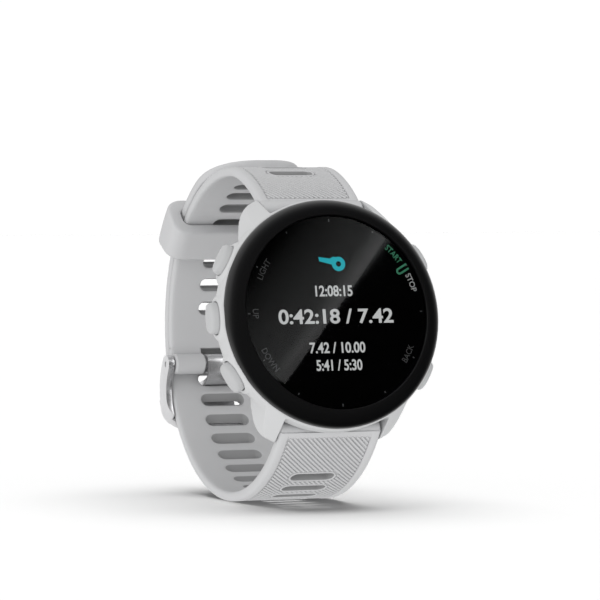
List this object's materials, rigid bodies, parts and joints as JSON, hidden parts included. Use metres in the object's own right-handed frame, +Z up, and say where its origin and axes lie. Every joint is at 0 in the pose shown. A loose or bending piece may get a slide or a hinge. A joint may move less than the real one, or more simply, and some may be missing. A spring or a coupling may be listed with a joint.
{
  "type": "gps running watch",
  "caption": "Round running watch with a dark glass face, press buttons round the case and a slotted strap closed by a pin buckle and a sliding keeper.",
  "frame": {"origin": "on the floor, in the middle of the footprint of the watch as it stands on its closed strap", "axes": "+X towards 3 o'clock, +Y from the dial to the buckle, +Z up; the dial faces -Y and leans back 11.2 degrees"},
  "size_m": [0.0436, 0.0636, 0.0628],
  "materials": {
    "case_polymer": "satin",
    "bezel_black": "gloss",
    "cover_glass": "polished",
    "display": "gloss",
    "strap_silicone": "matte",
    "seal_rubber": "matte",
    "buckle_steel": "brushed",
    "bar_steel": "satin",
    "cover_polymer": "satin",
    "window_dark": "polished",
    "inner_polymer": "matte",
    "circuit_board": "satin",
    "shield_tin": "satin",
    "battery_foil": "satin",
    "insert_brass": "machined",
    "contact_gold": "polished",
    "button_polymer": "satin"
  },
  "bodies": {
    "watch": {"back_seal": "seal_rubber", "battery": "battery_foil", "bezel_ring": "bezel_black", "buckle_bar": "buckle_steel", "buzzer": "insert_brass", "case_body": "case_polymer", "charging_contacts": "contact_gold", "display_carrier": "inner_polymer", "display_flex": "inner_polymer", "display_panel": "display", "down_seal": "seal_rubber", "gps_antenna": "contact_gold", "lens": "cover_glass", "lens_seal": "seal_rubber", "light_seal": "seal_rubber", "lower_bar": "bar_steel", "lower_strap": "strap_silicone", "main_board": "circuit_board", "rear_cover": "cover_polymer", "rear_gasket": "seal_rubber", "rear_screws": "bar_steel", "screw_inserts": "insert_brass", "sensor_board": "circuit_board", "sensor_leds": "contact_gold", "sensor_window": "window_dark", "shield_cans": "shield_tin", "side_switches": "inner_polymer", "start_seal": "seal_rubber", "up_seal": "seal_rubber", "upper_bar": "bar_steel", "upper_strap": "strap_silicone", "vibration_motor": "shield_tin"},
    "light_button": {"light_button": "button_polymer", "light_clip": "bar_steel"},
    "up_button": {"up_button": "button_polymer", "up_clip": "bar_steel"},
    "down_button": {"down_button": "button_polymer", "down_clip": "bar_steel"},
    "start_button": {"start_button": "button_polymer", "start_clip": "bar_steel"},
    "back_button": {"back_button": "button_polymer", "back_clip": "bar_steel"},
    "upper_release_pin": {"upper_release_pin": "bar_steel"},
    "lower_release_pin": {"lower_release_pin": "bar_steel"},
    "keeper": {"keeper_loop": "strap_silicone"},
    "buckle_frame": {"buckle_frame": "buckle_steel"},
    "buckle_tongue": {"buckle_tongue": "buckle_steel"}
  },
  "joints": [
    {"name": "light_press", "type": "slide", "parent": "watch", "child": "light_button", "axis": [0.8746, -0.0942, -0.4756], "range_m": [0, 0.0005], "stiffness_N_per_m": 3000, "springref_m": -0.0001},
    {"name": "up_press", "type": "slide", "parent": "watch", "child": "up_button", "axis": [1, 0, 0], "range_m": [0, 0.0005], "stiffness_N_per_m": 3000, "springref_m": -0.0001},
    {"name": "down_press", "type": "slide", "parent": "watch", "child": "down_button", "axis": [0.8712, 0.0953, 0.4816], "range_m": [0, 0.0005], "stiffness_N_per_m": 3000, "springref_m": -0.0001},
    {"name": "start_press", "type": "slide", "parent": "watch", "child": "start_button", "axis": [-0.8746, -0.0942, -0.4756], "range_m": [0, 0.0005], "stiffness_N_per_m": 3000, "springref_m": -0.0001},
    {"name": "back_press", "type": "slide", "parent": "watch", "child": "back_button", "axis": [-0.8572, 0.1, 0.5052], "range_m": [0, 0.0005], "stiffness_N_per_m": 3000, "springref_m": -0.0001},
    {"name": "upper_release", "type": "slide", "parent": "watch", "child": "upper_release_pin", "axis": [1, 0, 0], "range_m": [0, 0.0013], "stiffness_N_per_m": 500, "springref_m": -0.0005},
    {"name": "lower_release", "type": "slide", "parent": "watch", "child": "lower_release_pin", "axis": [1, 0, 0], "range_m": [0, 0.0013], "stiffness_N_per_m": 500, "springref_m": -0.0005},
    {"name": "keeper_slide", "type": "hinge", "parent": "watch", "child": "keeper", "pos_m": [0.0008, 0.00048, 0.03135], "axis": [1, 0, 0], "range_deg": [-24, 4]},
    {"name": "buckle_lift", "type": "hinge", "parent": "watch", "child": "buckle_frame", "pos_m": [0.0008, 0.02702, 0.02406], "axis": [1, 0, 0], "range_deg": [0, 5]},
    {"name": "tongue_lift", "type": "hinge", "parent": "watch", "child": "buckle_tongue", "pos_m": [0.0008, 0.02702, 0.02406], "axis": [1, 0, 0], "range_deg": [0, 5]}
  ],
  "couplings": [
    {"joint": "tongue_lift", "follows": "buckle_lift", "ratio": 1}
  ]
}
